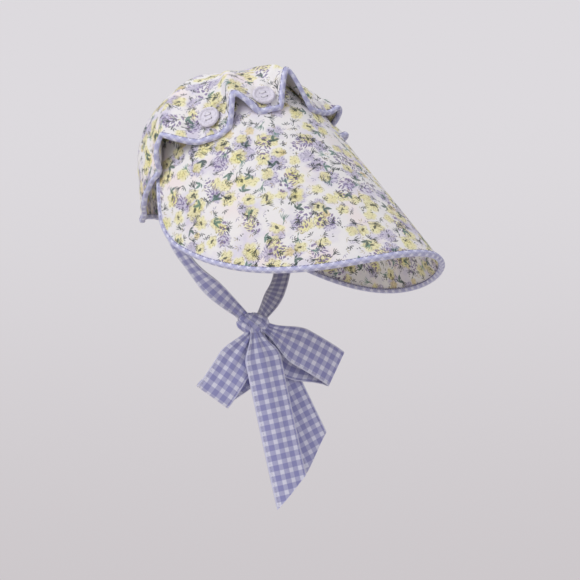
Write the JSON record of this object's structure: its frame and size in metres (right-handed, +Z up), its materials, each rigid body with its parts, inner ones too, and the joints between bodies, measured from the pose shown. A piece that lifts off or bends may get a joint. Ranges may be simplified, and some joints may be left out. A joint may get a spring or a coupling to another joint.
{
  "type": "sunbonnet",
  "caption": "Cloth sunbonnet with a long deep peak, a gathered crown held in lobes by buttons, bound edges and ties in a bow.",
  "frame": {"origin": "middle of the head line, where the hat sits on the head", "axes": "+Z up, -Y the way the wearer faces, +X the wearer's left"},
  "size_m": [0.2114, 0.3048, 0.3996],
  "materials": {
    "floral_cotton": "matt printed cotton, off-white with small flowers",
    "gingham_cotton": "matt lavender and white gingham",
    "button_shell": "satin, pale lavender white"
  },
  "bodies": {
    "root": {"peak": "floral_cotton", "peak_binding": "gingham_cotton", "crown": "floral_cotton", "crown_binding": "gingham_cotton", "button_right_front": "button_shell", "button_right_side": "button_shell", "button_left_front": "button_shell", "button_left_side": "button_shell", "knot": "gingham_cotton", "strap_right": "gingham_cotton", "strap_left": "gingham_cotton", "bow_loop_left": "gingham_cotton", "bow_loop_right": "gingham_cotton", "bow_tail_front": "gingham_cotton", "bow_tail_back": "gingham_cotton"}
  },
  "joints": []
}
